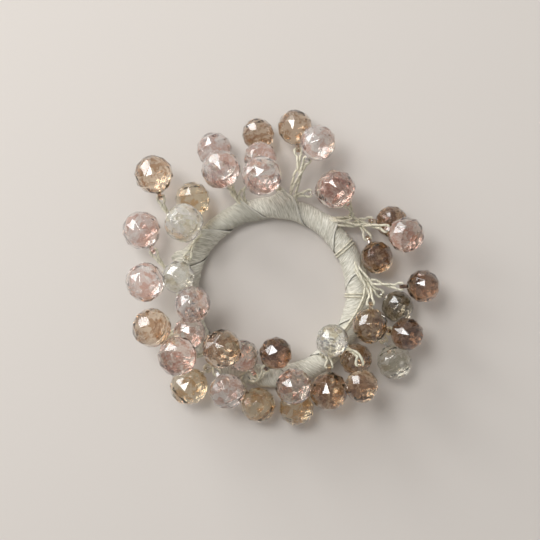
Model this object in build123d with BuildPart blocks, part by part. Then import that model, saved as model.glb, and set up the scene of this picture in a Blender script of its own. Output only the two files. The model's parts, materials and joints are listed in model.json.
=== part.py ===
from build123d import *
from math import cos, hypot, pi, radians, sin
import os

os.makedirs("parts", exist_ok=True)

# A candle ring: a wire hoop wound with paper tape, with sprays of wired faceted beads round it.
# The origin is the middle of the ring on the surface that it stands on, +Z up. Millimetres.

# Hoop and paper tape
HOOP_RADIUS = 44.0
HOOP_WIRE = 2.6
TAPE_THICKNESS = 1.0
TAIL_CLEARANCE = 0.5
TAPE_TURNS = 12
TAPE_STEPS = 12
TAPE_SEAM = 3.4
TAPE_PHASE = 85.0
SEAT_FLAT = 0.5

# Paper-covered wire
STRAND_WIRE = 1.1
STEM_WIRE = 2.2
TAIL_LENGTH = 8.0
STEM_STAND = 1.6
BEND_RADIUS = 1.4
FORK_SWELL = 0.2
FORK_LENGTH = 3.0

# Binding wire
BINDING_WIRE = 0.8
BINDING_PITCH = 1.6
BINDING_GAP = 0.45
BINDING_REACH = 35.0
BINDING_BEARINGS = (31.0, 358.0)

# Beads: three sizes, and the drilled lug that each hangs by
BEAD_DIAMETER = {"small": 17.0, "medium": 18.5, "large": 20.0}
FACET_RINGS = ((72, 8, 22.5), (46, 8, 0.0), (16, 16, 0.0), (-16, 16, 11.25), (-46, 8, 11.25), (-72, 8, 33.75))
LUG_REACH = 2.0
LUG_WIDTH = 3.6
LUG_THICKNESS = 2.0
LUG_CLEARANCE = 0.15
LOOP_CLEARANCE = 0.2
LOOP_LENGTH = 4.2
LOOP_BEND = 0.7

# Each bead: size, bearing in degrees, reach of its middle beyond the hoop's line, lift of its underside
BEADS = {
    1: ("large", 135.0, 41.0, 10.0),
    2: ("medium", 112.0, 35.5, 1.5),
    3: ("large", 112.5, 23.0, 18.5),
    4: ("small", 95.0, 38.0, 1.5),
    5: ("small", 95.0, 24.5, 15.0),
    6: ("large", 95.0, 14.0, 31.5),
    7: ("medium", 82.0, 42.0, 2.0),
    8: ("medium", 73.0, 35.0, 17.0),
    9: ("large", 58.5, 17.0, 20.5),
    10: ("medium", 130.5, 19.0, 2.0),
    11: ("large", 141.5, 12.5, 18.5),
    12: ("large", 154.5, 30.0, 6.0),
    13: ("large", 175.0, 19.5, 21.5),
    14: ("small", 170.5, 4.5, 10.5),
    15: ("medium", 188.0, -4.0, 22.0),
    16: ("large", 196.0, 19.0, 16.5),
    17: ("small", 206.0, 3.0, 10.5),
    18: ("large", 213.5, 12.0, 27.5),
    19: ("large", 228.5, 20.5, 2.0),
    20: ("large", 228.0, -7.0, 25.5),
    21: ("small", 245.0, -8.5, 10.0),
    22: ("small", 273.5, -13.5, 16.0),
    23: ("medium", 245.5, 11.0, 11.0),
    24: ("medium", 263.0, 14.5, 1.0),
    25: ("medium", 283.0, 4.0, 19.0),
    26: ("medium", 282.0, 17.0, 1.0),
    27: ("large", 300.0, 14.0, 8.0),
    28: ("small", 314.0, 20.5, 21.5),
    29: ("small", 321.5, 11.0, 5.5),
    30: ("small", 321.5, -5.5, 19.5),
    31: ("medium", 330.5, 28.5, 2.0),
    32: ("medium", 341.5, 8.5, 11.0),
    33: ("small", 343.0, 27.5, 14.0),
    34: ("small", 353.5, 21.5, 1.0),
    35: ("small", 2.5, 33.0, 11.0),
    36: ("small", 18.5, 13.0, 3.5),
    37: ("small", 30.5, 28.0, 1.0),
    38: ("medium", 23.5, 29.5, 18.0),
    39: ("small", 60.0, 17.0, 1.0),
}

# Each spray: tape seam that it comes out of, angle round the band, way its tail runs along the hoop,
# forks (bearing, reach beyond the hoop's line, height), beads at each fork
SPRAYS = {
    1: (1, 50, 1, [(110.5, 9.5, 11.0)], [(2, 3, 6)]),
    2: (0, 12, 1, [(88.0, 10.0, 9.0)], [(4, 5)]),
    3: (0, 62, -1, [(78.5, 7.0, 11.0), (77.0, 20.5, 13.0)], [(39,), (7, 8)]),
    4: (-1, 40, 1, [(39.5, 14.5, 11.0)], [(9, 36, 37, 38)]),
    5: (-2, 75, 1, [(3.5, 7.0, 11.5)], [(32, 34, 35)]),
    6: (-3, 15, 1, [(341.0, 14.0, 9.0)], [(31, 33)]),
    7: (-4, 118, 1, [(316.5, -3.5, 12.0)], [(27, 28, 29, 30)]),
    8: (-5, 80, 1, [(288.0, 1.0, 11.5)], [(25, 26)]),
    9: (-6, 100, -1, [(248.5, 5.5, 10.5)], [(24,)]),
    10: (-6, 62, 1, [(261.0, 1.5, 13.5)], [(21, 22)]),
    11: (-7, 60, 1, [(230.0, 4.0, 11.0)], [(19, 23)]),
    12: (-7, 105, -1, [(224.0, 2.0, 16.0)], [(18, 20)]),
    13: (-8, 15, 1, [(204.0, 15.0, 8.5)], [(16, 17)]),
    14: (-8, 90, -1, [(195.5, -1.0, 14.0)], [(15,)]),
    15: (3, 15, 1, [(168.0, 13.5, 9.0)], [(12, 13)]),
    16: (2, 60, -1, [(140.0, 5.0, 11.0)], [(10, 11, 14)]),
    17: (2, 10, 1, [(143.5, 24.5, 12.0)], [(1,)]),
}

# A lug that doesn't point straight at its fork: bearing and rise of the lug, and the run before its twig turns
LUG_AIM = {28: (96.0, 1.0)}
AIM_RUN = 1.5

# Sizes that follow
hoop_r = HOOP_WIRE / 2
strand_r = STRAND_WIRE / 2
stem_r = STEM_WIRE / 2
tail_r = hoop_r + stem_r + TAIL_CLEARANCE / 2
tape_in = tail_r + stem_r + TAIL_CLEARANCE
tape_mid = tape_in + TAPE_THICKNESS / 2
tape_out = tape_in + TAPE_THICKNESS
ring_z = tape_out - SEAT_FLAT
turn_bearing = 360.0 / TAPE_TURNS
hole_r = strand_r + LUG_CLEARANCE
loop_half = LUG_THICKNESS / 2 + LOOP_CLEARANCE + strand_r
lug_end = LUG_WIDTH / 2


def ring_point(bearing, reach, height):
    """A point by bearing, reach beyond the hoop's line and height."""
    radius = HOOP_RADIUS + reach
    return Vector(radius * cos(radians(bearing)), radius * sin(radians(bearing)), height)


def band_point(bearing, around, offset):
    """A point off the hoop's line, by the angle round the band (0 outward, 90 up)."""
    reach = offset * cos(radians(around))
    return ring_point(bearing, reach, ring_z + offset * sin(radians(around)))


def seam_bearing(seam, around):
    """Bearing of a tape seam at an angle round the band: the tape lies as a helix."""
    return TAPE_PHASE + turn_bearing * (seam - around / 360)


def bead_middle(number):
    size, bearing, reach, lift = BEADS[number]
    return ring_point(bearing, reach, lift + BEAD_DIAMETER[size] / 2)


# The hoop: one round of steel wire, butt-welded
with BuildPart() as core_hoop:
    with Locations((0, 0, ring_z)):
        Torus(HOOP_RADIUS, hoop_r)
core_hoop.part.label = "core_hoop"
export_step(core_hoop.part, "parts/core_hoop.step")

# The paper tape: one strip wound as a helix round the hoop and the stem tails, flat where it stands
tape_gaps = []
with BuildPart() as tape_wrap:
    section_count = TAPE_TURNS * TAPE_STEPS
    for step in range(section_count):
        around = 360.0 * (step + 0.5) / TAPE_STEPS - 90.0
        bearing = TAPE_PHASE + turn_bearing * (0.5 - around / 360)
        lane = HOOP_RADIUS + tape_mid * cos(radians(around))
        lane_pitch = lane * radians(turn_bearing)
        turn_length = hypot(2 * pi * tape_mid, lane_pitch)
        half_lane = (lane_pitch - TAPE_SEAM * turn_length / (2 * pi * tape_mid)) / 2
        half_angle = half_lane / lane
        bow = lane * (1 - cos(half_angle)) / 2
        middle = ring_point(bearing, lane - bow - HOOP_RADIUS, ring_z + tape_mid * sin(radians(around)))
        along = Vector(-sin(radians(bearing)), cos(radians(bearing)), 0)
        outward = band_point(bearing, around, 1) - band_point(bearing, around, 0)
        with BuildSketch(Plane(origin=middle, x_dir=along, z_dir=along.cross(outward))):
            Rectangle(2 * lane * sin(half_angle), TAPE_THICKNESS)
        tape_gaps.append((lane_pitch - 2 * half_lane) * 2 * pi * tape_mid / turn_length)
    loft(ruled=True)
    split(bisect_by=Plane.XY, keep=Keep.TOP)
tape_wrap.part.label = "tape_wrap"
export_step(tape_wrap.part, "parts/tape_wrap.step")
print("tape: least gap between turns", round(min(tape_gaps), 2), "mm")

# Facets of a ball of radius 1: triangles between rings of corners that all lie on the ball
def ball_corner(ring, place):
    latitude, count, turn = FACET_RINGS[ring]
    bearing = radians(turn + 360.0 * place / count)
    return Vector(cos(radians(latitude)) * cos(bearing), cos(radians(latitude)) * sin(bearing), sin(radians(latitude)))


def nearest_corner(ring, bearing):
    latitude, count, turn = FACET_RINGS[ring]
    return round((bearing - turn) * count / 360.0)


facets = []
for ring in range(len(FACET_RINGS) - 1):
    for edge_ring, tip_ring in ((ring, ring + 1), (ring + 1, ring)):
        latitude, count, turn = FACET_RINGS[edge_ring]
        for place in range(count):
            tip = nearest_corner(tip_ring, turn + 360.0 * (place + 0.5) / count - 0.01)
            corners = (ball_corner(edge_ring, place), ball_corner(edge_ring, place + 1), ball_corner(tip_ring, tip))
            facing = (corners[1] - corners[0]).cross(corners[2] - corners[0]).normalized()
            if facing.dot(corners[0]) < 0:
                facing = facing * -1
            facets.append((facing, facing.dot(corners[0])))
table_depth = sin(radians(FACET_RINGS[0][0]))

# Bead blanks, one for each size: a ball cut into triangular facets, with a flat drilled lug below
bead_blank = {}
for size, diameter in BEAD_DIAMETER.items():
    bead_r = diameter / 2
    lug_hole = bead_r + LUG_REACH
    with BuildPart() as blank:
        Sphere(bead_r * 1.2)
        split(bisect_by=Plane.XY.offset(bead_r * table_depth), keep=Keep.BOTTOM)
        split(bisect_by=Plane.XY.offset(-bead_r * table_depth), keep=Keep.TOP)
        for facing, depth in facets:
            split(bisect_by=Plane(origin=facing * (bead_r * depth), z_dir=facing), keep=Keep.BOTTOM)
        with BuildSketch(Plane.XZ):
            with Locations((0, -lug_hole)):
                Circle(lug_end)
            with Locations((0, -(lug_hole + bead_r / 2) / 2)):
                Rectangle(LUG_WIDTH, lug_hole - bead_r / 2)
        extrude(amount=LUG_THICKNESS / 2, both=True)
        with BuildSketch(Plane.XZ):
            with Locations((0, -lug_hole)):
                Circle(hole_r)
        extrude(amount=LUG_THICKNESS, both=True, mode=Mode.SUBTRACT)
    bead_blank[size] = blank.part

# Where each bead hangs: the pin of its wire loop, the way its lug points and the line of the pin
fork_of = {}
for seam, around, way, forks, fork_beads in SPRAYS.values():
    for fork, numbers in zip(forks, fork_beads):
        for number in numbers:
            fork_of[number] = ring_point(*fork)


def hang(number):
    """Pin of a bead's loop, way of its lug, line of the pin, twist below the loop."""
    middle = bead_middle(number)
    lug_way = (fork_of[number] - middle).normalized()
    if number in LUG_AIM:
        turn, rise = (radians(angle) for angle in LUG_AIM[number])
        lug_way = Vector(cos(rise) * cos(turn), cos(rise) * sin(turn), sin(rise))
    pin_way = lug_way.cross(Vector(0, 0, 1)).normalized()
    pin = middle + lug_way * (BEAD_DIAMETER[BEADS[number][0]] / 2 + LUG_REACH)
    return pin, lug_way, pin_way, pin + lug_way * LOOP_LENGTH


# Beads, each hung on its loop by the lug
for number, (size, bearing, reach, lift) in BEADS.items():
    pin, lug_way, pin_way, crotch = hang(number)
    seat = Plane(origin=bead_middle(number), x_dir=lug_way.cross(pin_way), z_dir=lug_way * -1)
    with BuildPart() as bead:
        with Locations(Location(seat)):
            add(bead_blank[size])
    bead.part.label = f"bead_{number:02d}"
    export_step(bead.part, f"parts/bead_{number:02d}.step")

# Sprays: stem, twigs and wire loops in one
for spray_number, (seam, around, way, forks, fork_beads) in SPRAYS.items():
    bearing = seam_bearing(seam, around)
    tail_turn = way * TAIL_LENGTH / HOOP_RADIUS * 180 / pi
    fork_points = [ring_point(*fork) for fork in forks]
    knee = band_point(bearing, around, tape_out + STEM_STAND)
    stem_points = [band_point(bearing + tail_turn, around, tail_r), band_point(bearing, around, tail_r)]
    if (fork_points[0] - knee).length > 2 * BEND_RADIUS:
        stem_points.append(knee)
    stem_points += fork_points
    with BuildPart() as spray:
        with BuildLine() as stem_line:
            FilletPolyline(*stem_points, radius=BEND_RADIUS)
        with BuildSketch(Plane(origin=stem_points[0], z_dir=stem_points[1] - stem_points[0])):
            Circle(stem_r)
        sweep(path=stem_line.line)
        for fork_point, numbers in zip(fork_points, fork_beads):
            # the twist where twigs leave the stem
            stem_way = (fork_point - stem_points[stem_points.index(fork_point) - 1]).normalized()
            with BuildSketch(Plane(origin=fork_point - stem_way * (FORK_LENGTH / 2), z_dir=stem_way)):
                Circle(stem_r + FORK_SWELL)
            extrude(amount=FORK_LENGTH)
            for number in numbers:
                pin, lug_way, pin_way, crotch = hang(number)

                # twig from the fork to the twist below the loop
                twig_points = [fork_point, crotch - lug_way * strand_r]
                if number in LUG_AIM:
                    twig_points.insert(1, crotch + lug_way * AIM_RUN)
                with BuildLine() as twig_line:
                    if number in LUG_AIM:
                        FilletPolyline(*twig_points, radius=BEND_RADIUS)
                    else:
                        Line(*twig_points)
                with BuildSketch(Plane(origin=fork_point, z_dir=twig_points[1] - fork_point)):
                    Circle(stem_r)
                sweep(path=twig_line.line)

                # loop of one strand through the lug, its two ends twisted into the twig
                shoulder = lug_way * (lug_end + LOOP_CLEARANCE * 3)
                side = pin_way * loop_half
                foot = crotch + lug_way * strand_r
                spread = pin_way * (strand_r / 4)
                loop_start = foot + spread
                with BuildLine() as loop_line:
                    FilletPolyline(
                        loop_start,
                        pin + side + shoulder,
                        pin + side,
                        pin - side,
                        pin - side + shoulder,
                        foot - spread,
                        radius=LOOP_BEND,
                    )
                with BuildSketch(Plane(origin=loop_start, z_dir=pin + side + shoulder - loop_start)):
                    Circle(strand_r)
                sweep(path=loop_line.line)
    spray.part.label = f"spray_{spray_number:02d}"
    export_step(spray.part, f"parts/spray_{spray_number:02d}.step")

# Binding wires: pairs of open hoops over the wrap, their ends down its sides
binding_r = tape_out + BINDING_GAP + BINDING_WIRE / 2
with BuildPart() as binding_wires:
    for bearing in BINDING_BEARINGS:
        along = Vector(-sin(radians(bearing)), cos(radians(bearing)), 0)
        outward = Vector(cos(radians(bearing)), sin(radians(bearing)), 0)
        for side in (-0.5, 0.5):
            middle = ring_point(bearing, 0, ring_z) + along * (side * BINDING_PITCH)
            frame = Plane(origin=middle, x_dir=outward, z_dir=along * -1)
            with BuildLine(frame) as binding_line:
                CenterArc((0, 0), binding_r, -BINDING_REACH, 180 + 2 * BINDING_REACH)
            with BuildSketch(Plane(origin=binding_line.line @ 0, z_dir=binding_line.line % 0)):
                Circle(BINDING_WIRE / 2)
            sweep(path=binding_line.line)
binding_wires.part.label = "binding_wires"
export_step(binding_wires.part, "parts/binding_wires.step")
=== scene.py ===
import bpy
import json
import math
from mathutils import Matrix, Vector


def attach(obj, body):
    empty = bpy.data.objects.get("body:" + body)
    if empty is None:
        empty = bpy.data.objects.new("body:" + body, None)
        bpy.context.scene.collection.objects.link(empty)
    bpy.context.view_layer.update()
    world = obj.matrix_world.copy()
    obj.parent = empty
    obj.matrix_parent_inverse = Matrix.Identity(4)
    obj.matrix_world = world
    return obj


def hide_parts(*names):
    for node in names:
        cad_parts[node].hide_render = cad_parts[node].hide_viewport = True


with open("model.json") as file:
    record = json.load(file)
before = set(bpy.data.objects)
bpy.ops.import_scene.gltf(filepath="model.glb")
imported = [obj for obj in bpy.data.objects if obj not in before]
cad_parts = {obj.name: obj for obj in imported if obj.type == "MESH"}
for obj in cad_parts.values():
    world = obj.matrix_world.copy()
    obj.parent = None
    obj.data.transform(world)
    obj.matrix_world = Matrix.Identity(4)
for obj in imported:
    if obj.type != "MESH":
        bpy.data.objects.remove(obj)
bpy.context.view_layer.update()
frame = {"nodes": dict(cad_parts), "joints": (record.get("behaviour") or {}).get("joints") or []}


# Hoop: one round of 2.6 mm drawn steel wire, its ends butt-welded.
# It lies inside the paper wrap, which stands on a narrow flat, and it carries every stem.
mm = 0.001
hoop_line = 44 * mm
hoop_height = 4.75 * mm
steel_dark = (0.23, 0.23, 0.22)
steel_bright = (0.4, 0.39, 0.37)
steel_roughness = 0.3
steel_roughness_spread = 0.25


def add(tree, kind, feeds=(), **settings):
    """A node with its settings, and what feeds its inputs: a socket of another node, or a value."""
    made = tree.nodes.new(kind)
    for name, value in settings.items():
        setattr(made, name, value)
    for place, value in dict(feeds).items():
        if isinstance(value, bpy.types.NodeSocket):
            tree.links.new(value, made.inputs[place])
        else:
            made.inputs[place].default_value = value
    return made


def figure(tree, operation, *terms):
    """The result of one calculation on sockets and numbers."""
    return add(tree, "ShaderNodeMath", enumerate(terms), operation=operation).outputs[0]


def noise(tree, place, scale, detail, **more):
    """The value of a noise pattern at a place."""
    feeds = {"Vector": place, "Scale": scale, "Detail": detail, **more}
    return add(tree, "ShaderNodeTexNoise", feeds).outputs[0]


def blend_of(tree, share, first, second):
    """A colour between two, by a share."""
    mix = add(tree, "ShaderNodeMix", {0: share}, data_type="RGBA")
    for place, value in ((6, first), (7, second)):
        if isinstance(value, bpy.types.NodeSocket):
            tree.links.new(value, mix.inputs[place])
        else:
            mix.inputs[place].default_value = (*value, 1)
    return mix.outputs[2]


def new_finish(name):
    """A material, its node tree and its own shader."""
    finish = bpy.data.materials.new(name)
    finish.use_nodes = True
    return finish, finish.node_tree, finish.node_tree.nodes["Principled BSDF"]


steel_finish, tree, shader = new_finish("drawn_steel")
place = add(tree, "ShaderNodeTexCoord").outputs["Object"]
drawing = noise(tree, place, scale=900.0, detail=3.0)
roughness = figure(tree, "MULTIPLY_ADD", drawing, steel_roughness_spread, steel_roughness)
tree.links.new(blend_of(tree, drawing, steel_dark, steel_bright), shader.inputs["Base Color"])
tree.links.new(roughness, shader.inputs["Roughness"])
shader.inputs["Metallic"].default_value = 1.0
hoop = frame["nodes"]["core_hoop"]
hoop.data.materials.clear()
hoop.data.materials.append(steel_finish)


# Sprays: each bead has its own length of paper-covered wire, bent through its lug and twisted with itself.
# The wires of a spray run down together to the hoop, where their tails lie along it under the wrap.
strand = 1.3 * mm
strand_sides = 9
strand_spacing = 0.5 * mm

# the loop through a lug: half its widths, its run to the twist, and the wire drawn thin near its middle
loop_side = 1.75 * mm
loop_hole = 1.0 * mm
loop_shoulder = 2.4 * mm
loop_spacing = 0.3 * mm
loop_share = 0.82
loop_thin_run = 3 * mm
loop_full_run = 6 * mm
lug_run = 4.2 * mm

# the twist of a pair of strands and of a whole spray, with the gaps from the middle counted in strands
pair_twist = 24 * mm
pair_gap = 0.56
pair_opening = 0.45
spray_twist = 70 * mm
bundle_gap = 0.58
parting_run = 5 * mm
parting_lead = 0.6
fork_fan = 1.9 * mm

# the stem's way out: along the hoop, up through the turns of the wrap, and past the paper's free edge
band_radius = 5.25 * mm
strip_width = 30 * mm
first_seam = 85.0
seam_step = 30.0
tail_radius = 2.65 * mm
tail_length = 8 * mm
stem_bend_radius = 3.8 * mm
stem_bend_turn = 4.0
stem_mouth_turn = 0.5
stem_stand = 0.9 * mm

# one bead's lug points along the band, and its wire turns to it after a short run
side_lug_bead = 28
side_lug_run = 5.7 * mm
side_lug_rise = 0.0175

# seam of the wrap that the stem comes out of, angle round the band, forks, beads of each fork;
# a fork is a bearing in degrees, and its reach beyond the hoop's line and its height in mm
sprays = {
    1: (1, 50, [(110.5, 9.5, 11.0)], [(2, 3, 6)]),
    2: (0, 12, [(88.0, 10.0, 9.0)], [(4, 5)]),
    3: (0, 62, [(78.5, 7.0, 11.0), (77.0, 20.5, 13.0)], [(39,), (7, 8)]),
    4: (-1, 40, [(39.5, 14.5, 11.0)], [(9, 36, 37, 38)]),
    5: (-2, 75, [(3.5, 7.0, 11.5)], [(32, 34, 35)]),
    6: (-3, 15, [(341.0, 14.0, 9.0)], [(31, 33)]),
    7: (-4, 118, [(316.5, -3.5, 12.0)], [(27, 28, 29, 30)]),
    8: (-5, 80, [(288.0, 1.0, 11.5)], [(25, 26)]),
    9: (-6, 100, [(248.5, 5.5, 10.5)], [(24,)]),
    10: (-6, 62, [(261.0, 1.5, 13.5)], [(21, 22)]),
    11: (-7, 60, [(230.0, 4.0, 11.0)], [(19, 23)]),
    12: (-7, 105, [(224.0, 2.0, 16.0)], [(18, 20)]),
    13: (-8, 15, [(204.0, 15.0, 8.5)], [(16, 17)]),
    14: (-8, 90, [(195.5, -1.0, 14.0)], [(15,)]),
    15: (3, 15, [(168.0, 13.5, 9.0)], [(12, 13)]),
    16: (2, 60, [(140.0, 5.0, 11.0)], [(10, 11, 14)]),
    17: (2, 10, [(143.5, 24.5, 12.0)], [(1,)]),
}

# one spray has a tail outside the wrap, from its fork: along the band, over the lower binding wires,
# and in under the paper near the upper ones
loose_tails = {
    7: [(316.5, -3.5, 12.0), (326.0, -2.0, 11.2), (339.0, -0.5, 11.0), (349.0, 1.8, 11.1),
        (358.0, 4.4, 9.6), (370.0, 5.6, 6.2), (382.0, 5.7, 3.8), (393.0, 4.4, 3.4)],
}
tail_gap = 0.52


def ring_point(bearing, reach, height):
    """A point by bearing in degrees, reach beyond the hoop's line and height."""
    turn = math.radians(bearing)
    return Vector(((hoop_line + reach) * math.cos(turn), (hoop_line + reach) * math.sin(turn), height))


def route_points(rows):
    """Points by bearing in degrees, and reach and height in mm."""
    return [ring_point(bearing, reach * mm, height * mm) for bearing, reach, height in rows]


def band_point(bearing, around, offset):
    """A point off the hoop's line, by the angle round the band: 0 is outward, 90 up."""
    lean = math.radians(around)
    return ring_point(bearing, offset * math.cos(lean), hoop_height + offset * math.sin(lean))


def mouth_bearing(seam, around_band):
    """Where the wrap's free edge passes at an angle round the band: half a strip before mid-turn."""
    reach = band_radius * math.cos(math.radians(around_band))
    middle = first_seam + seam_step * (seam + 0.5 - around_band / 360)
    return middle - math.degrees(strip_width / 2 / (hoop_line + reach))


def bent_line(route, spacing):
    """Evenly spaced points along wire that is bent smoothly from one end of a route to the other."""
    line = bpy.data.curves.new("route", "CURVE")
    line.dimensions = "3D"
    bend = line.splines.new("NURBS")
    bend.points.add(len(route) - 1)
    for knot, point in zip(bend.points, route):
        knot.co = (*point, 1)
    bend.order_u = 3
    bend.use_endpoint_u = True
    bend.resolution_u = 24
    carrier = bpy.data.objects.new("route", line)
    drawn = bpy.data.meshes.new_from_object(carrier)
    points = [vertex.co.copy() for vertex in drawn.vertices]
    bpy.data.objects.remove(carrier)
    bpy.data.curves.remove(line)
    bpy.data.meshes.remove(drawn)
    runs = [0.0]
    for before, after in zip(points, points[1:]):
        runs.append(runs[-1] + (after - before).length)
    count = max(3, round(runs[-1] / spacing))
    even = []
    step = 0
    for part in range(count + 1):
        goal = runs[-1] * part / count
        while step < len(runs) - 2 and runs[step + 1] < goal:
            step += 1
        share = (goal - runs[step]) / max(runs[step + 1] - runs[step], 1e-9)
        even.append(points[step].lerp(points[step + 1], min(1.0, share)))
    return even, runs[-1]


def carried_sides(points):
    """Two vectors across a line at each of its points, carried along it without turning."""
    sides = []
    ways = [(after - before).normalized() for before, after in zip(points, points[1:])]
    ways.append(ways[-1])
    side = ways[0].orthogonal().normalized()
    for way in ways:
        side = (side - way * side.dot(way)).normalized()
        sides.append((side, way.cross(side)))
    return sides


def eased(share):
    """A share from 0 to 1 that leaves and reaches its ends gently."""
    share = min(1.0, max(0.0, share))
    return share * share * (3 - 2 * share)


def twisted_wire(route, fork, pin, lug_way, pin_way, wire, count):
    """One wire's line, of a count in its spray: up the route, through the lug, and twisted back down."""
    points, length = bent_line(route, strand_spacing)
    sides = carried_sides(points)
    steps = len(points) - 1
    leaving = min(range(len(points)), key=lambda spot: (points[spot] - fork).length)
    end_side, end_rise = sides[-1]
    end_turn = math.atan2(pin_way.dot(end_rise), pin_way.dot(end_side))
    bundle = strand * bundle_gap / math.sin(math.pi / (2 * count))
    up, down = [], []
    for spot, (point, (side, rise)) in enumerate(zip(points, sides)):
        run = length * spot / steps
        past_fork = run - length * leaving / steps
        apart = 1.0 if count == 1 else eased(past_fork / parting_run + parting_lead)
        pair = end_turn + 2 * math.pi * (length - run) / pair_twist
        lay = math.pi * wire / count + 2 * math.pi * run / spray_twist
        opening = pair_gap + pair_opening * math.sin(math.pi * run / length) ** 2
        offset = (side * math.cos(pair) + rise * math.sin(pair)) * (strand * opening * apart)
        offset += (side * math.cos(lay) + rise * math.sin(lay)) * (bundle * (1 - apart))
        up.append(point + offset)
        down.append(point - offset)
    beside = pin_way * loop_side
    within = pin_way * loop_hole
    shoulder = lug_way * loop_shoulder
    loop = [up[-1], pin + beside + shoulder, pin + beside, pin + within,
            pin - within, pin - beside, pin - beside + shoulder, down[-1]]
    return up[:-1] + bent_line(loop, loop_spacing)[0] + down[-2::-1]


def product(tree, first, second):
    """Two figures multiplied."""
    return figure(tree, "MULTIPLY", first, second)


def ranged(tree, value, low, high, first=0.0, last=1.0, **settings):
    """A figure that goes from a first to a last one as a value goes from low to high."""
    feeds = {0: value, 1: low, 2: high, 3: first, 4: last}
    return add(tree, "ShaderNodeMapRange", feeds, **settings).outputs[0]


def joined(tree, *parts):
    """A vector of two or three figures."""
    return add(tree, "ShaderNodeCombineXYZ", enumerate(parts)).outputs[0]


def parts_of(tree, vector):
    """The three figures of a vector."""
    return add(tree, "ShaderNodeSeparateXYZ", {0: vector}).outputs


def stored(tree, name, kind):
    """What a mesh keeps under a name."""
    return add(tree, "ShaderNodeAttribute", attribute_name=name).outputs[kind]


# the wire's cover: a narrow strip of fibrous paper, wound so that its edge shows, and rubbed in places; the
# groove along its wound edge is darkened with painted shade
cover_pitch = 4.2
fibres_round = 2.2
fibres_along = 0.7
fibre_dark = (0.5, 0.45, 0.29)
fibre_pale = (0.93, 0.9, 0.77)
cover_edge_painted_shade = (0.2, 0.17, 0.1)
cover_edge_shade_share = 0.55
rubbed_pale = (0.88, 0.86, 0.75)
rubbed_share = 0.35
cover_roughness = 0.55
cover_roughness_spread = 0.25
cover_edge_sink = -0.7
cover_relief = 0.2 * mm

paper_wire_finish, tree, shader = new_finish("paper_covered_wire")
along = stored(tree, "wire_along", "Fac")
around = parts_of(tree, stored(tree, "wire_round", "Vector"))
wound = product(tree, along, 2 * math.pi / cover_pitch)
cover_turn = figure(tree, "ADD", product(tree, figure(tree, "COSINE", wound), around[0]),
                    product(tree, figure(tree, "SINE", wound), around[1]))
fibre_place = joined(tree, product(tree, around[0], fibres_round), product(tree, around[1], fibres_round),
                     product(tree, along, fibres_along))
fibre = noise(tree, fibre_place, scale=1.6, detail=5.0, Roughness=0.65)
rubbed = noise(tree, fibre_place, scale=0.22, detail=2.0)
cover_edge = ranged(tree, cover_turn, low=0.62, high=0.95)
paper = blend_of(tree, fibre, fibre_dark, fibre_pale)
# painted shade: the sunken wound edge of the cover is darkened
paper = blend_of(tree, product(tree, cover_edge, cover_edge_shade_share), paper, cover_edge_painted_shade)
paper = blend_of(tree, product(tree, rubbed, rubbed_share), paper, rubbed_pale)
roughness = figure(tree, "MULTIPLY_ADD", fibre, cover_roughness_spread, cover_roughness)
relief = figure(tree, "MULTIPLY_ADD", cover_edge, cover_edge_sink, fibre)
bump = add(tree, "ShaderNodeBump", {"Strength": 0.55, "Distance": cover_relief, "Height": relief})
tree.links.new(paper, shader.inputs["Base Color"])
tree.links.new(roughness, shader.inputs["Roughness"])
tree.links.new(bump.outputs[0], shader.inputs["Normal"])
shader.inputs["Specular IOR Level"].default_value = 0.3
shader.inputs["Sheen Weight"].default_value = 0.12


def node_group(name, inputs):
    """An empty geometry tree with named inputs, each with its kind; gives it, its inputs and its output."""
    tree = bpy.data.node_groups.new(name, "GeometryNodeTree")
    tree.interface.new_socket("Geometry", in_out="INPUT", socket_type="NodeSocketGeometry")
    for label, kind in inputs.items():
        tree.interface.new_socket(label, in_out="INPUT", socket_type="NodeSocket" + kind)
    tree.interface.new_socket("Geometry", in_out="OUTPUT", socket_type="NodeSocketGeometry")
    return tree, tree.nodes.new("NodeGroupInput").outputs, tree.nodes.new("NodeGroupOutput").inputs


def keeping(tree, shape, name, value, kind):
    """A shape whose points keep a value under a name."""
    feeds = {"Geometry": shape, "Name": name, "Value": value}
    return add(tree, "GeometryNodeStoreNamedAttribute", feeds, data_type=kind, domain="POINT").outputs[0]


def end_tree(tree, shape, finish, result):
    """The end of a geometry tree: smooth faces, made real, with their finish."""
    shape = add(tree, "GeometryNodeSetShadeSmooth", {"Geometry": shape}).outputs[0]
    shape = add(tree, "GeometryNodeRealizeInstances", {"Geometry": shape}).outputs[0]
    shape = add(tree, "GeometryNodeSetMaterial", {"Geometry": shape, "Material": finish}).outputs[0]
    tree.links.new(shape, result[0])


def line_mesh(name, lines):
    """A mesh of edges only, one row of them for each line of points."""
    edges = []
    count = 0
    for line in lines:
        edges += [(count + spot, count + spot + 1) for spot in range(len(line) - 1)]
        count += len(line)
    mesh = bpy.data.meshes.new(name)
    mesh.from_pydata([point for line in lines for point in line], edges, [])
    return mesh


def worked_mesh(name, start, tree, settings):
    """A finished object: the start mesh worked by a geometry tree and made a plain mesh."""
    piece = bpy.data.objects.new(name, start)
    bpy.context.scene.collection.objects.link(piece)
    work = piece.modifiers.new("work", "NODES")
    work.node_group = tree
    for socket in tree.interface.items_tree:
        if socket.in_out == "INPUT" and socket.name in settings:
            work[socket.identifier] = settings[socket.name]
    bpy.context.view_layer.update()
    ready = bpy.data.meshes.new_from_object(piece.evaluated_get(bpy.context.evaluated_depsgraph_get()))
    piece.modifiers.remove(work)
    piece.data = ready
    ready.name = name
    return piece


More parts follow.
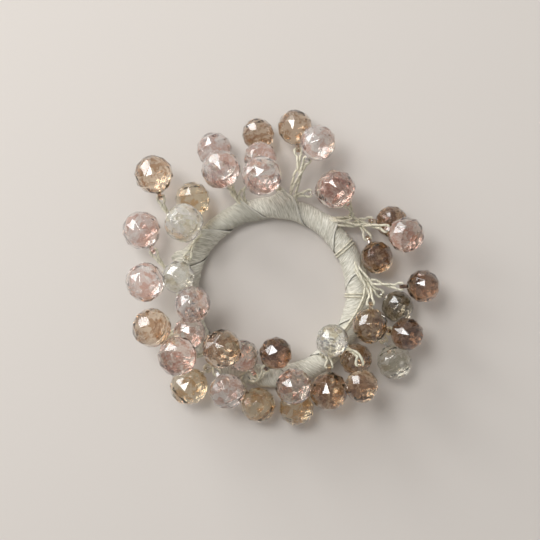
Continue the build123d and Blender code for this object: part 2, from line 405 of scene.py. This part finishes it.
mm_per_metre = 1000.0
wire_tree, given, result = node_group("covered wire", {
    "Wire": "Float", "Loop share": "Float", "Sides": "Int", "Finish": "Material"})
run = add(wire_tree, "GeometryNodeMeshToCurve", {"Mesh": given["Geometry"]}).outputs[0]
spline_run = add(wire_tree, "GeometryNodeSplineParameter").outputs["Length"]
run = keeping(wire_tree, run, "wire_along", product(wire_tree, spline_run, mm_per_metre), "FLOAT")
half_run = product(wire_tree, add(wire_tree, "GeometryNodeSplineLength").outputs["Length"], 0.5)
from_loop = figure(wire_tree, "ABSOLUTE", figure(wire_tree, "SUBTRACT", spline_run, half_run))
drawn_thin = ranged(wire_tree, from_loop, loop_thin_run, loop_full_run, first=given["Loop share"])
run = add(wire_tree, "GeometryNodeSetCurveRadius", {"Curve": run, "Radius": drawn_thin}).outputs[0]
rim = add(wire_tree, "GeometryNodeCurvePrimitiveCircle", {
    "Resolution": given["Sides"], "Radius": product(wire_tree, given["Wire"], 0.5)}).outputs[0]
rim_place = add(wire_tree, "GeometryNodeInputPosition").outputs[0]
rim_way = add(wire_tree, "ShaderNodeVectorMath", {0: rim_place}, operation="NORMALIZE").outputs[0]
rim = keeping(wire_tree, rim, "wire_round", rim_way, "FLOAT_VECTOR")
skin = add(wire_tree, "GeometryNodeCurveToMesh", {"Curve": run, "Profile Curve": rim, "Fill Caps": True})
end_tree(wire_tree, skin.outputs[0], given["Finish"], result)

pins = {joint["child"]: (Vector(joint["pos_m"]), Vector(joint["axis"])) for joint in frame["joints"]}
for number, (seam, around_band, forks, fork_beads) in sprays.items():
    bearing = mouth_bearing(seam, around_band)
    stem = [band_point(bearing + math.degrees(tail_length / hoop_line), around_band, tail_radius),
            band_point(bearing + stem_bend_turn, around_band, stem_bend_radius),
            band_point(bearing - stem_mouth_turn, around_band, band_radius + stem_stand)]
    wires = []
    count = sum(len(beads) for beads in fork_beads)
    for spot, beads in enumerate(fork_beads):
        for bead in beads:
            pin, rock_axis = pins[f"bead_{bead:02d}"]
            pin_way = -rock_axis
            route = stem + route_points(forks[:spot + 1])
            across = Vector((-route[-1].y, route[-1].x, 0)).normalized()
            in_order = sorted(beads, key=lambda other: pins[f"bead_{other:02d}"][0].dot(across))
            lug_way = (route[-1] - pin).normalized()
            fork = route[-1] + across * (fork_fan * (in_order.index(bead) - (len(beads) - 1) / 2))
            route[-1] = fork
            if bead == side_lug_bead:
                lug_way = Vector((-pin_way.y, pin_way.x, side_lug_rise)).normalized()
                route.append(pin + lug_way * side_lug_run)
            route.append(pin + lug_way * lug_run)
            wires.append(twisted_wire(route, fork, pin, lug_way, pin_way, len(wires), count))
    if number in loose_tails:
        tail = bent_line(route_points(loose_tails[number]), strand_spacing)[0]
        tail_sides = [side for side, rise in carried_sides(tail)]
        for half in (-tail_gap, tail_gap):
            wires.append([point + side * (strand * half) for point, side in zip(tail, tail_sides)])
    spray = worked_mesh(f"spray_{number:02d}_wires", line_mesh("wire lines", wires), wire_tree, {
        "Wire": strand, "Loop share": loop_share, "Sides": strand_sides, "Finish": paper_wire_finish})
    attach(spray, "ring")
    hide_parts(f"spray_{number:02d}")


# Paper wrap: one strip of pale crepe floral tape, wound as a helix round the hoop and the stem tails.
# Each turn lies over the edge of the next, and the paper is drawn up into a peak where a stem comes out.
strip_turns = 12.0
strip_columns = 620
strip_rows = 76
paper_thickness = 0.18 * mm
tucked_radius = 4.55 * mm
lap_rise = 0.95 * mm
lap_slope = 1.5
lap_rounding = 0.3
crinkle_depth = 0.95 * mm
crinkle_seed = 3.0
edge_wander = 2.2 * mm
foot_height = 0.3 * mm
foot_rounding = 0.5 * mm

# the lay of the strip, which its patterns follow: its count for each turn, and for each metre across
lay_of_turn = 37.7
lay_across = 790.0

# creases run along the strip on a slant, and are deeper inside the ring; swells are wide and soft;
# both are deeper in the last turns
crease_along = 0.07
crease_slant = -0.16
crease_across = 0.8
swell_along = 0.11
swell_across = 0.1
swell_seed_step = 7.0
swell_share = 1.3
crease_share = 1.1
outside_drop = -0.5
smooth_turns = 9.2
smooth_share = 0.6
creased_turns = 10.5
creased_share = 1.3

# the crepe's fine ribs, with painted shade in their valleys, its paler and darker patches, painted shade on
# its last turn, a painted highlight along its raised free edge, and painted shade along its seams
ribs_along = 0.09
rib_slant = -0.2
rib_valley_shade = (0.43, 0.41, 0.325)
rib_pale = (0.96, 0.935, 0.84)
patch_along = 0.5
patch_tone = (0.62, 0.6, 0.5)
patch_share = 0.5
last_turn_painted_shade = (0.34, 0.33, 0.27)
free_edge_painted_highlight = (0.82, 0.8, 0.73)
seam_painted_shade = (0.13, 0.12, 0.085)
crepe_roughness = 0.6
crepe_roughness_spread = 0.2
crepe_relief = 0.5 * mm
crinkle_share = 1.4

tape_finish, tree, shader = new_finish("crepe_tape")
lay = parts_of(tree, stored(tree, "tape_lay", "Vector"))
rib_place = joined(tree, product(tree, lay[0], ribs_along),
                   figure(tree, "MULTIPLY_ADD", lay[0], rib_slant, lay[1]))
ribs = noise(tree, rib_place, scale=2.5, detail=5.0, Roughness=0.65)
crinkle = noise(tree, rib_place, scale=0.55, detail=4.0, Roughness=0.6)
patch = noise(tree, joined(tree, product(tree, lay[0], patch_along), lay[1]), scale=0.12, detail=3.0)
# the ribs' colour follows the same noise as their bump: partly the crepe's own fibre tone, partly painted
# shade in their valleys
rib = ranged(tree, ribs, low=0.38, high=0.6)
# painted shade: the strip is darkened over its last turn, standing in for the shade on the band's inner
# side there
last_turn = ranged(tree, lay[0], low=405.0, high=417.0, last=0.5)
# painted highlight: the raised free edge of the strip is made paler, as where it catches the light
cut_edge = ranged(tree, lay[1], low=0.0, high=0.9, first=0.9, last=0.0)
# painted shade: a dark line on the lower turn just beside the edge of the turn that lies over it
seam_shade = ranged(tree, lay[2], low=-1.5, high=-0.1, last=0.9, interpolation_type="SMOOTHSTEP")
paper = blend_of(tree, rib, rib_valley_shade, rib_pale)
paper = blend_of(tree, product(tree, patch, patch_share), paper, patch_tone)
paper = blend_of(tree, last_turn, paper, last_turn_painted_shade)
paper = blend_of(tree, cut_edge, paper, free_edge_painted_highlight)
paper = blend_of(tree, seam_shade, paper, seam_painted_shade)
roughness = figure(tree, "MULTIPLY_ADD", rib, crepe_roughness_spread, crepe_roughness)
relief = figure(tree, "ADD", ribs, product(tree, crinkle, crinkle_share))
bump = add(tree, "ShaderNodeBump", {"Strength": 1.0, "Distance": crepe_relief, "Height": relief})
tree.links.new(paper, shader.inputs["Base Color"])
tree.links.new(roughness, shader.inputs["Roughness"])
tree.links.new(bump.outputs[0], shader.inputs["Normal"])
shader.inputs["Specular IOR Level"].default_value = 0.25
shader.inputs["Sheen Weight"].default_value = 0.15

tape_tree, given, result = node_group("wound strip", {
    "Hoop line": "Float", "Height": "Float", "Tucked radius": "Float", "Lap rise": "Float",
    "Strip width": "Float", "Turns": "Float", "First bearing": "Float", "Crinkle": "Float",
    "Seed": "Float", "Finish": "Material"})
flat = add(tape_tree, "GeometryNodeMeshGrid", {
    "Size X": 1.0, "Size Y": 1.0, "Vertices X": strip_columns, "Vertices Y": strip_rows}).outputs[0]
spot = parts_of(tape_tree, add(tape_tree, "GeometryNodeInputPosition").outputs[0])
length_share = figure(tape_tree, "ADD", spot[0], 0.5)
width_share = figure(tape_tree, "ADD", spot[1], 0.5)
turns = product(tape_tree, length_share, given["Turns"])
lean = figure(tape_tree, "MULTIPLY_ADD", turns, 2 * math.pi, -math.pi / 2)
outward = figure(tape_tree, "COSINE", lean)
upward = figure(tape_tree, "SINE", lean)
strip_run = product(tape_tree, turns, lay_of_turn)
strip_across = product(tape_tree, width_share, product(tape_tree, given["Strip width"], lay_across))

# the strip's distance from the hoop's line: its tucked edge lies under the turn before, and it is creased
from_tucked = figure(tape_tree, "SUBTRACT", 1.0, width_share)
over = figure(tape_tree, "SMOOTH_MIN", product(tape_tree, from_tucked, lap_slope), 1.0, lap_rounding)
crease_lay = figure(tape_tree, "MULTIPLY_ADD", strip_run, crease_slant,
                    product(tape_tree, strip_across, crease_across))
crease_place = joined(tape_tree, product(tape_tree, strip_run, crease_along), crease_lay, given["Seed"])
crease = figure(tape_tree, "SUBTRACT", noise(tape_tree, crease_place, scale=1.0, detail=3.0), 0.5)
swell_place = joined(tape_tree, product(tape_tree, strip_run, swell_along),
                     product(tape_tree, strip_across, swell_across),
                     figure(tape_tree, "ADD", given["Seed"], swell_seed_step))
swell = figure(tape_tree, "SUBTRACT", noise(tape_tree, swell_place, scale=1.0, detail=1.0), 0.5)
gathered = figure(tape_tree, "MULTIPLY_ADD", outward, outside_drop, crease_share)
creased = ranged(tape_tree, turns, smooth_turns, creased_turns, first=smooth_share, last=creased_share)
relief = figure(tape_tree, "ADD", product(tape_tree, crease, gathered),
                product(tape_tree, swell, swell_share))
relief = product(tape_tree, product(tape_tree, relief, creased), given["Crinkle"])
offset = figure(tape_tree, "MULTIPLY_ADD", over, given["Lap rise"], given["Tucked radius"])
offset = figure(tape_tree, "ADD", offset, relief)

# each point's place on the band: a turn moves it on by one step of the seams, and the foot is flat
lane = figure(tape_tree, "MULTIPLY_ADD", outward, offset, given["Hoop line"])
wander = product(tape_tree, swell, edge_wander)
from_middle = figure(tape_tree, "SUBTRACT", width_share, 0.5)
across = figure(tape_tree, "MULTIPLY_ADD", from_middle, given["Strip width"], wander)
bearing = figure(tape_tree, "ADD", figure(tape_tree, "DIVIDE", across, lane), given["First bearing"])
bearing = figure(tape_tree, "SUBTRACT", bearing, product(tape_tree, lean, seam_step / 360))
height = figure(tape_tree, "MULTIPLY_ADD", upward, offset, given["Height"])
height = figure(tape_tree, "SMOOTH_MAX", height, foot_height, foot_rounding)
wound = joined(tape_tree, product(tape_tree, lane, figure(tape_tree, "COSINE", bearing)),
               product(tape_tree, lane, figure(tape_tree, "SINE", bearing)), height)
width_in_mm = product(tape_tree, given["Strip width"], mm_per_metre)
past_seam = figure(tape_tree, "MULTIPLY_ADD", lane, -mm_per_metre * math.radians(seam_step),
                   product(tape_tree, width_share, width_in_mm))
strip_lay = joined(tape_tree, strip_run, strip_across, past_seam)
flat = keeping(tape_tree, flat, "tape_lay", strip_lay, "FLOAT_VECTOR")
strip = add(tape_tree, "GeometryNodeSetPosition", {"Geometry": flat, "Position": wound}).outputs[0]
end_tree(tape_tree, strip, given["Finish"], result)

first_bearing = math.radians(first_seam + seam_step / 2)
wrap = worked_mesh("tape_wrap_paper", bpy.data.meshes.new("strip"), tape_tree, {
    "Hoop line": hoop_line, "Height": hoop_height, "Tucked radius": tucked_radius, "Lap rise": lap_rise,
    "Strip width": strip_width, "Turns": strip_turns, "First bearing": first_bearing,
    "Crinkle": crinkle_depth, "Seed": crinkle_seed, "Finish": tape_finish})

# how far a stem draws the free edge of the paper up, and over what width; most lift it only a little
usual_lift = (2.0 * mm, 2.8 * mm)
drawn_up = {1: (3.0 * mm, 4.5 * mm), 3: (4.8 * mm, 7.0 * mm), 4: (2.6 * mm, 4.5 * mm),
            11: (0.8 * mm, 3.0 * mm), 12: (0.8 * mm, 3.0 * mm), 16: (3.2 * mm, 5.0 * mm)}
stem_pull = 0.8
lifts = []
for number, (seam, around_band, forks, fork_beads) in sprays.items():
    bearing = mouth_bearing(seam, around_band)
    mouth = band_point(bearing, around_band, band_radius)
    rise = (mouth - ring_point(bearing, 0, hoop_height)).normalized()
    to_fork = (route_points(forks)[0] - mouth).normalized()
    lift, width = drawn_up.get(number, usual_lift)
    lifts.append((mouth, (rise + to_fork * stem_pull).normalized(), lift, width, False))

# and where the paper is gathered over the side of the band, the whole turn goes out
gather_bearing = 160
gather_lean = 25
gather_lift = 6.6 * mm
gather_width = 4.8 * mm
gather_foot = band_point(gather_bearing, gather_lean, band_radius)
gather_way = (gather_foot - ring_point(gather_bearing, 0, hoop_height)).normalized()
lifts.append((gather_foot, gather_way, gather_lift, gather_width, True))

# and between the stems at the top, its edge is drawn out to a peak
peak_bearing = 80.8
peak_lean = 20
peak_tip = (83.3, 9.6, 11)
peak_lift = 6.6 * mm
peak_width = 5.5 * mm
peak_foot = band_point(peak_bearing, peak_lean, band_radius)
peak_way = (route_points([peak_tip])[0] - peak_foot).normalized()
lifts.append((peak_foot, peak_way, peak_lift, peak_width, False))

# only the strip's free edge follows a stem, in small pleats that fan out; the largest lift moves a point
edge_lay = 5
edge_fade = 8
pleat_depth = 0.12
pleats_across = 2.4
pleat_fan = 3
for vertex, lay in zip(wrap.data.vertices, wrap.data.attributes["tape_lay"].data):
    on_edge = 1 - eased((lay.vector.y - edge_lay) / edge_fade)
    most = 0.0
    pull = Vector()
    for mouth, way, lift, width, whole_turn in lifts:
        gap = (vertex.co - mouth).length / width
        pleat = 1 + pleat_depth * math.sin(lay.vector.y * pleats_across + gap * pleat_fan)
        drawn = lift * math.exp(-gap * gap) * (1.0 if whole_turn else on_edge) * pleat
        if drawn > most:
            most = drawn
            pull = way * drawn
    vertex.co += pull
sheet = wrap.modifiers.new("paper thickness", "SOLIDIFY")
sheet.thickness = paper_thickness
sheet.offset = -1.0
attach(wrap, "ring")
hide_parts("tape_wrap")


# Binding wires: pairs of thin paper-covered wire pulled over the finished wrap in two places.
# Their ends are pressed down the sides of the band, clear of the surface that the ring stands on.
binding_wire = 0.8 * mm
binding_sides = 8
binding_radius = 6.0 * mm
binding_gap = 1.6
binding_slant = 1.1
binding_start = -35
binding_sweep = 250
binding_steps = 40

# the bearing of each pair, and how much of the slant it has
binding_pairs = {31.0: 1.0, 358.0: 0.2}
lines = []
for bearing, slant_share in binding_pairs.items():
    for side in (-0.5, 0.5):
        turned = []
        for step in range(binding_steps + 1):
            around_band = binding_start + binding_sweep * step / binding_steps
            slant = binding_slant * math.cos(math.radians(around_band)) * slant_share
            shift = math.degrees((side * binding_gap + slant) * mm / hoop_line)
            turned.append(band_point(bearing + shift, around_band, binding_radius))
        lines.append(turned)
binding = worked_mesh("binding_wire_loops", line_mesh("binding lines", lines), wire_tree, {
    "Wire": binding_wire, "Loop share": 1.0, "Sides": binding_sides, "Finish": paper_wire_finish})
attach(binding, "ring")
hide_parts("binding_wires")


# Beads: moulded acrylic balls with cut facets and a drilled lug, tinted blush, champagne, smoky or clear.
# Each hangs by its lug on its own wire loop. The facet edges are polished off a little.
bead_count = 39
facet_scale = 300.0
facet_relief = 0.4 * mm
glint_share = 0.6
flow_share = 0.3
streak_share = 0.12
haze_share = 0.06
tint_density = 60.0
weld_gap = 0.01 * mm
polish_width = 0.17 * mm
polish_angle = 9

# each tint's deep colour and pale colour on the facets, its colour through the bead, and its clearness
tints = {
    "blush_acrylic": ((0.68, 0.39, 0.32), (1.0, 0.99, 0.98), (0.94, 0.86, 0.8), 0.97),
    "pale_blush_acrylic": ((0.76, 0.51, 0.44), (1.0, 1.0, 1.0), (0.985, 0.96, 0.94), 0.9),
    "smoky_blush_acrylic": ((0.36, 0.19, 0.09), (1.0, 0.88, 0.73), (0.835, 0.715, 0.535), 1.0),
    "dark_blush_acrylic": ((0.16, 0.075, 0.035), (0.66, 0.47, 0.33), (0.56, 0.39, 0.25), 1.0),
    "smoky_clear_acrylic": ((0.54, 0.51, 0.42), (1.0, 1.0, 0.98), (0.95, 0.935, 0.88), 0.93),
    "dark_clear_acrylic": ((0.28, 0.24, 0.17), (0.95, 0.91, 0.84), (0.78, 0.73, 0.61), 1.0),
    "champagne_acrylic": ((0.48, 0.28, 0.15), (1.0, 0.94, 0.86), (0.88, 0.77, 0.63), 1.0),
    "light_champagne_acrylic": ((0.74, 0.47, 0.24), (1.0, 0.98, 0.9), (0.96, 0.89, 0.75), 0.97),
    "clear_acrylic": ((0.8, 0.74, 0.59), (1.0, 1.0, 0.99), (0.995, 0.99, 0.965), 0.86),
}

# the beads of each tint; the others are blush. Beads 15 and 23 in pale blush and 19, 24 and 26 in light
# champagne are tinted lighter as painted light, against the shade they lie in
tinted_beads = {
    "champagne_acrylic": (1, 4, 7, 16, 20),
    "light_champagne_acrylic": (10, 19, 24, 26),
    "clear_acrylic": (11, 14, 30),
    "pale_blush_acrylic": (2, 3, 5, 6, 8, 12, 13, 15, 17, 23),
    "smoky_blush_acrylic": (27, 28, 29, 32, 36, 37),
    "dark_blush_acrylic": (22, 33, 35),
    "smoky_clear_acrylic": (31,),
    "dark_clear_acrylic": (34,),
}


def tinted_acrylic(name, deep, pale, through, clearness):
    """Clear moulded plastic: a tint that varies between facets, and one that deepens through the bead."""
    finish, tree, shader = new_finish(name)
    place = add(tree, "ShaderNodeTexCoord").outputs["Object"]
    facet = add(tree, "ShaderNodeTexVoronoi", {"Vector": place, "Scale": facet_scale, "Randomness": 0.9})
    glint = add(tree, "ShaderNodeSeparateColor", {0: facet.outputs["Color"]}).outputs[0]
    flow = ranged(tree, noise(tree, place, scale=140.0, detail=2.0), low=0.35, high=0.65)
    streak = noise(tree, place, scale=430.0, detail=2.0, Distortion=1.6)
    streak = ranged(tree, streak, low=0.42, high=0.58, first=-streak_share, last=streak_share)
    share = figure(tree, "MULTIPLY_ADD", glint, glint_share, product(tree, flow, flow_share))
    share = ranged(tree, figure(tree, "ADD", share, streak), low=0.27, high=0.5)
    haze = noise(tree, place, scale=420.0, detail=3.0)
    cut = add(tree, "ShaderNodeBump", {
        "Strength": 0.15, "Distance": facet_relief, "Height": facet.outputs["Distance"]})
    tree.links.new(blend_of(tree, share, deep, pale), shader.inputs["Base Color"])
    tree.links.new(product(tree, haze, haze_share), shader.inputs["Roughness"])
    tree.links.new(cut.outputs[0], shader.inputs["Normal"])
    shader.inputs["IOR"].default_value = 1.49
    shader.inputs["Transmission Weight"].default_value = clearness
    shader.inputs["Coat Weight"].default_value = 1.0
    shader.inputs["Coat Roughness"].default_value = 0.02
    shader.inputs["Coat IOR"].default_value = 1.65
    inside = add(tree, "ShaderNodeVolumeAbsorption", {"Color": (*through, 1), "Density": tint_density})
    tree.links.new(inside.outputs[0], tree.nodes["Material Output"].inputs["Volume"])
    return finish


bead_finishes = {name: tinted_acrylic(name, *tint) for name, tint in tints.items()}
for bead in range(1, bead_count + 1):
    tint = next((name for name, beads in tinted_beads.items() if bead in beads), "blush_acrylic")
    ball = frame["nodes"][f"bead_{bead:02d}"]
    ball.data.materials.clear()
    ball.data.materials.append(bead_finishes[tint])
    merged = ball.modifiers.new("joined facets", "WELD")
    merged.merge_threshold = weld_gap
    polished = ball.modifiers.new("polished edges", "BEVEL")
    polished.width = polish_width
    polished.segments = 2
    polished.limit_method = "ANGLE"
    polished.angle_limit = math.radians(polish_angle)


# Stage: a plain pale floor, soft light from the upper left, and the camera straight above.
# The floor is a flat sheet of matt board, and the lamps are windows and a softbox.
floor_reach = 9
floor_tone = (0.64, 0.6, 0.56, 1)
sky_tone = (1.0, 0.98, 0.96, 1)
sky_strength = 0.41
camera_place = (-1.05 * mm, 11.6 * mm, 600 * mm)
camera_lens = 76.06
camera_sensor = 36.0

floor_corners = [(-floor_reach, -floor_reach, 0), (floor_reach, -floor_reach, 0),
                 (floor_reach, floor_reach, 0), (-floor_reach, floor_reach, 0)]
floor_sheet = bpy.data.meshes.new("floor")
floor_sheet.from_pydata(floor_corners, [], [(0, 1, 2, 3)])
floor = bpy.data.objects.new("floor", floor_sheet)
bpy.context.scene.collection.objects.link(floor)
floor_finish, tree, shader = new_finish("pale_floor")
shader.inputs["Base Color"].default_value = floor_tone
shader.inputs["Roughness"].default_value = 0.9
shader.inputs["Specular IOR Level"].default_value = 0.1
floor_sheet.materials.append(floor_finish)

sky = bpy.data.worlds.new("studio")
sky.use_nodes = True
sky.node_tree.nodes["Background"].inputs["Color"].default_value = sky_tone
sky.node_tree.nodes["Background"].inputs["Strength"].default_value = sky_strength
bpy.context.scene.world = sky

# each lamp's height and bearing in degrees, distance, width and length in metres, beam in degrees and power
lamps = {
    "window": (27, 152, 1.6, 0.565, 0.565, 180, 6.2),
    "back_window": (27, 120, 1.6, 0.565, 0.565, 180, 6.2),
    "softbox": (63, 136, 1.6, 0.565, 0.565, 180, 10.8),
    "low_window": (10, 140, 1.5, 2.1, 0.4, 70, 2.6),
}
for name, (lamp_height, lamp_bearing, away, width, tall, beam, power) in lamps.items():
    rise = math.radians(lamp_height)
    turn = math.radians(lamp_bearing)
    way = Vector((math.cos(rise) * math.cos(turn), math.cos(rise) * math.sin(turn), math.sin(rise)))
    lamp = bpy.data.lights.new(name, "AREA")
    lamp.shape = "RECTANGLE"
    lamp.size = width
    lamp.size_y = tall
    lamp.spread = math.radians(beam)
    lamp.energy = power
    lamp_object = bpy.data.objects.new(name, lamp)
    lamp_object.location = way * away
    lamp_object.rotation_euler = (way * away).to_track_quat("Z", "Y").to_euler()
    bpy.context.scene.collection.objects.link(lamp_object)

lens = bpy.data.cameras.new("overhead")
lens.lens = camera_lens
lens.sensor_width = camera_sensor
camera = bpy.data.objects.new("overhead", lens)
camera.location = camera_place
bpy.context.scene.collection.objects.link(camera)
bpy.context.scene.camera = camera
bpy.context.scene.view_settings.view_transform = "Standard"
